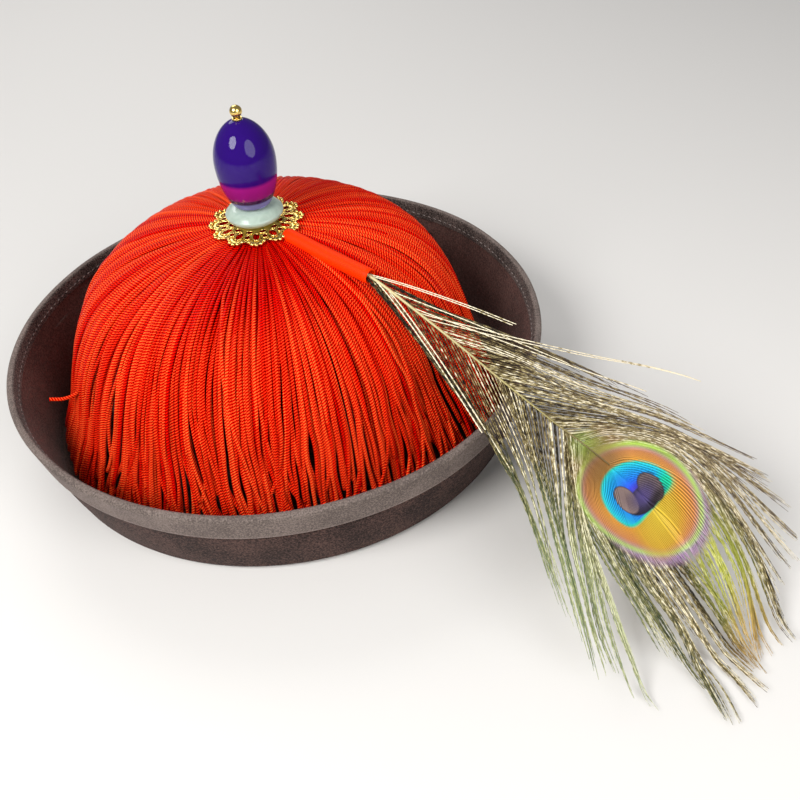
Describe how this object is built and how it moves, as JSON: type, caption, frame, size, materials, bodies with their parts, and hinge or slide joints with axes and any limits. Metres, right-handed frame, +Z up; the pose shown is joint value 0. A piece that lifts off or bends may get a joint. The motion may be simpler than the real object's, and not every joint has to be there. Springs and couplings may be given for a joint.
{
  "type": "winter court hat with tassel and peacock plume",
  "caption": "Felt hat with an upturned round brim, a dome of hanging cords, a bead finial on a pierced metal flower, and a peacock feather in a tube that trails over the brim.",
  "frame": {"origin": "centre of the head opening, in the plane of the flat base ring that the hat stands on", "axes": "+Z up through the finial, +Y back along the feather, the wearer's front towards -Y"},
  "size_m": [0.2822, 0.4365, 0.1742],
  "materials": {
    "felt": "pressed wool felt, matte, charcoal with lighter fibres",
    "binding": "brushed cloth tape, matte, a little lighter than the felt",
    "cord": "twisted rayon cord with a silky sheen",
    "gilt": "bright gilt metal",
    "jade": "polished milky pale green",
    "bead_glass": "polished transparent violet blue",
    "tube_plastic": "moulded orange plastic, satin",
    "plume": "iridescent feather barbs on a pale shaft"
  },
  "bodies": {
    "root": {"crown": "felt", "brim": "felt", "brim_binding": "binding", "tassel": "cord", "filigree_base": "gilt", "jade_disc": "jade", "finial_bead": "bead_glass", "finial_collar": "gilt", "finial_ball": "gilt", "finial_pin": "gilt", "plume_tube": "tube_plastic", "feather": "plume"}
  },
  "joints": []
}
